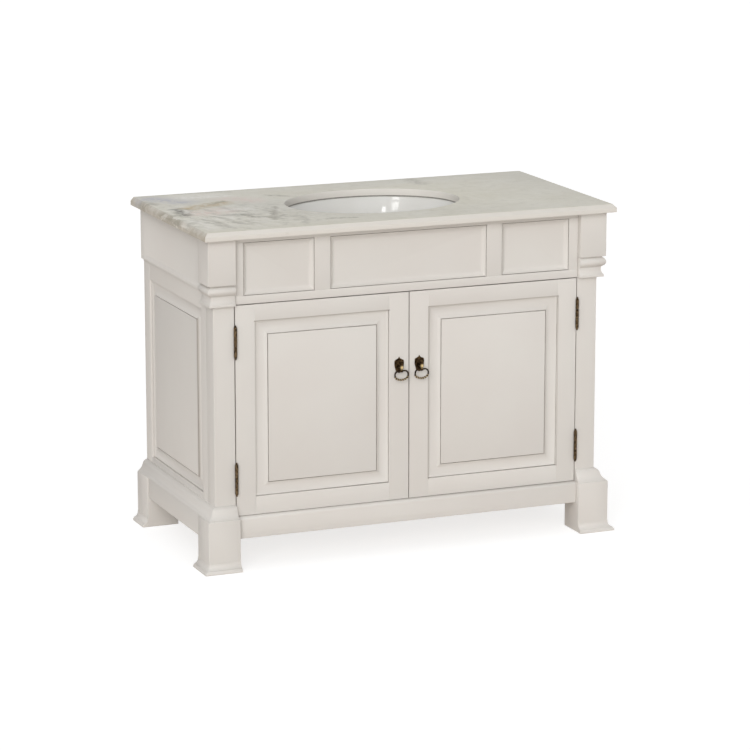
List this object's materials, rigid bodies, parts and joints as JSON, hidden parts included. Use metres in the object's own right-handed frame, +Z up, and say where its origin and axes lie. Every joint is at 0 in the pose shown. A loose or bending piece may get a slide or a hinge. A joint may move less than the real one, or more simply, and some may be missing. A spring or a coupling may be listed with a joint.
{
  "type": "bathroom vanity unit",
  "caption": "Painted wooden bathroom vanity with inset raised-panel doors, ring pulls, false drawer frieze, block feet, marble top and undermount oval basin.",
  "frame": {"origin": "on the floor, under the middle of the unit's bounding box", "axes": "+X to the right along the front, +Y from the doors to the wall, +Z up"},
  "size_m": [1.196, 0.61, 0.914],
  "materials": {
    "paint": "satin cream-white paint",
    "bare_wood": "bare sanded wood",
    "marble": "honed veined marble",
    "basin": "gloss white glaze",
    "bronze": "dark antique bronze",
    "steel": "zinc plated",
    "catch_plastic": "moulded"
  },
  "bodies": {
    "cabinet": {"back_boards": "bare_wood", "back_bottom_rail": "bare_wood", "back_top_rail": "bare_wood", "base_back_rail": "paint", "base_front_rail": "paint", "cabinet_floor": "bare_wood", "capital_mouldings": "paint", "centre_false_front": "paint", "corner_braces": "bare_wood", "countertop": "marble", "door_catches": "catch_plastic", "foot_skirts": "paint", "frieze_bottom_rail": "paint", "frieze_top_rail": "paint", "frieze_uprights": "paint", "hinge_frame_leaves": "bronze", "hinge_pins": "bronze", "left_base_moulding": "paint", "left_base_rail": "paint", "left_corner_block": "paint", "left_false_front": "paint", "left_front_foot": "paint", "left_front_post": "paint", "left_rear_foot": "paint", "left_rear_post": "paint", "left_side_frame": "paint", "left_side_frieze": "paint", "left_side_panel": "paint", "right_base_moulding": "paint", "right_base_rail": "paint", "right_corner_block": "paint", "right_false_front": "paint", "right_front_foot": "paint", "right_front_post": "paint", "right_rear_foot": "paint", "right_rear_post": "paint", "right_side_frame": "paint", "right_side_frieze": "paint", "right_side_panel": "paint", "side_frieze_coves": "paint", "sink_bowl": "basin", "sink_clips": "steel"},
    "left_door": {"left_door_hinge_stile": "paint", "left_door_meeting_stile": "paint", "left_door_panel": "paint", "left_door_rails": "paint", "left_door_strike": "steel", "left_hinge_door_leaves": "bronze", "left_pull_plate": "bronze"},
    "left_pull_ring": {"left_pull_ring": "bronze"},
    "right_door": {"right_door_hinge_stile": "paint", "right_door_meeting_stile": "paint", "right_door_panel": "paint", "right_door_rails": "paint", "right_door_strike": "steel", "right_hinge_door_leaves": "bronze", "right_pull_plate": "bronze"},
    "right_pull_ring": {"right_pull_ring": "bronze"}
  },
  "joints": [
    {"name": "left_door_hinge", "type": "hinge", "parent": "cabinet", "child": "left_door", "pos_m": [-0.4945, -0.264, 0.4275], "axis": [0, 0, -1], "range_deg": [0, 100]},
    {"name": "left_pull_swing", "type": "hinge", "parent": "left_door", "child": "left_pull_ring", "pos_m": [-0.02925, -0.277, 0.5], "axis": [-1, 0, 0], "range_deg": [-15, 110]},
    {"name": "right_door_hinge", "type": "hinge", "parent": "cabinet", "child": "right_door", "pos_m": [0.4945, -0.264, 0.4275], "axis": [0, 0, 1], "range_deg": [0, 100]},
    {"name": "right_pull_swing", "type": "hinge", "parent": "right_door", "child": "right_pull_ring", "pos_m": [0.02925, -0.277, 0.5], "axis": [-1, 0, 0], "range_deg": [-15, 110]}
  ]
}
